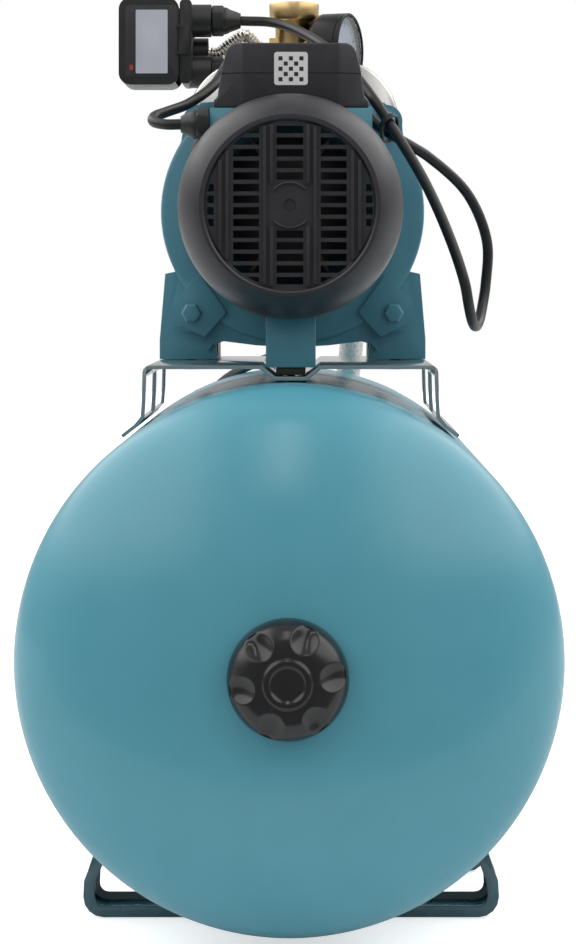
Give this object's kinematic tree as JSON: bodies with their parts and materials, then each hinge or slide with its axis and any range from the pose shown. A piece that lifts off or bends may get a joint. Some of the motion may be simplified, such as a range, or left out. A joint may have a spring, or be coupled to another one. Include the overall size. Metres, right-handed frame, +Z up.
{
  "type": "booster pump set",
  "caption": "Jet pump with electric motor, pressure switch, gauge and power lead on a horizontal membrane pressure tank; pumps and stores water under pressure.",
  "frame": {"origin": "on the floor under the middle of the set's box, without its power cord", "axes": "+Y along the shaft and the tank from the fan cover and the air valve towards the suction port, +Z up, +X to the gauge's side"},
  "size_m": [0.36, 0.646, 0.655],
  "materials": {
    "tank_paint": "gloss",
    "foot_paint": "gloss",
    "platform_paint": "gloss",
    "cast_paint": "satin",
    "zinc_steel": "satin",
    "machined_steel": "satin",
    "copper_winding": "satin",
    "stainless": "gloss",
    "brass": "satin",
    "nickel": "gloss",
    "steel_braid": "satin",
    "cap_plastic": "gloss",
    "black_plastic": "satin",
    "grey_plastic": "satin",
    "gauge_black": "gloss",
    "dial_white": "matte",
    "needle_red": "satin",
    "gauge_glass": "gloss",
    "capacitor_white": "satin",
    "soft_rubber": "matte",
    "cable_rubber": "satin"
  },
  "bodies": {
    "set": {"tank_front_shell": "tank_paint", "tank_rear_shell": "tank_paint", "front_foot": "foot_paint", "rear_foot": "foot_paint", "pump_platform": "platform_paint", "motor_frame": "cast_paint", "motor_foot": "cast_paint", "motor_bracket": "cast_paint", "bracket_bolt_1": "cast_paint", "bracket_bolt_2": "cast_paint", "bracket_bolt_3": "cast_paint", "bracket_bolt_4": "cast_paint", "rear_flange": "zinc_steel", "foot_bolt": "zinc_steel", "platform_bolt_1": "zinc_steel", "platform_bolt_2": "zinc_steel", "flange_bolt_1": "zinc_steel", "flange_bolt_2": "zinc_steel", "flange_bolt_3": "zinc_steel", "flange_bolt_4": "zinc_steel", "flange_bolt_5": "zinc_steel", "flange_bolt_6": "zinc_steel", "rear_bearing": "machined_steel", "front_bearing": "machined_steel", "mechanical_seal": "machined_steel", "stator": "copper_winding", "pump_casing": "stainless", "tank_elbow": "brass", "air_valve_stem": "brass", "five_way_fitting": "brass", "switch_nipple": "nickel", "braided_hose": "steel_braid", "switch_base": "black_plastic", "supply_gland": "black_plastic", "motor_gland": "black_plastic", "cord_tie": "black_plastic", "diffuser": "black_plastic", "fan_cover": "grey_plastic", "terminal_box": "grey_plastic", "gauge_case": "gauge_black", "gauge_dial": "dial_white", "gauge_lens": "gauge_glass", "capacitor": "capacitor_white", "membrane_bladder": "soft_rubber", "casing_seal": "soft_rubber", "foot_pad": "soft_rubber", "motor_lead": "cable_rubber", "cord_run": "cable_rubber", "cord_coil": "cable_rubber", "power_plug": "cable_rubber"},
    "rotor": {"rotor_shaft": "machined_steel", "rotor_core": "machined_steel", "cooling_fan": "black_plastic", "impeller": "brass"},
    "needle": {"gauge_needle": "needle_red"},
    "cap": {"air_valve_cap": "cap_plastic"},
    "valve_pin": {"air_valve_pin": "brass"},
    "priming_plug": {"priming_plug": "brass"},
    "drain_plug": {"drain_plug": "brass"},
    "switch_cover": {"switch_cover": "black_plastic"}
  },
  "joints": [
    {"name": "rotor_spin", "type": "hinge", "parent": "set", "child": "rotor", "pos_m": [0, 0, 0.491], "axis": [0, 1, 0], "continuous": true},
    {"name": "gauge_needle_turn", "type": "hinge", "parent": "set", "child": "needle", "pos_m": [0, 0.102, 0.618], "axis": [0.9272, -0.3746, 0], "range_deg": [-270, 0]},
    {"name": "air_cap_off", "type": "slide", "parent": "set", "child": "cap", "axis": [0, -1, 0], "range_m": [0, 0.03]},
    {"name": "valve_pin_press", "type": "slide", "parent": "set", "child": "valve_pin", "axis": [0, 1, 0], "range_m": [0, 0.0015], "stiffness_N_per_m": 200},
    {"name": "priming_plug_out", "type": "slide", "parent": "set", "child": "priming_plug", "axis": [0, 0, 1], "range_m": [0, 0.02]},
    {"name": "drain_plug_out", "type": "slide", "parent": "set", "child": "drain_plug", "axis": [0, 1, 0], "range_m": [0, 0.015]},
    {"name": "switch_cover_off", "type": "slide", "parent": "set", "child": "switch_cover", "axis": [-1, 0, 0], "range_m": [0, 0.06]}
  ]
}
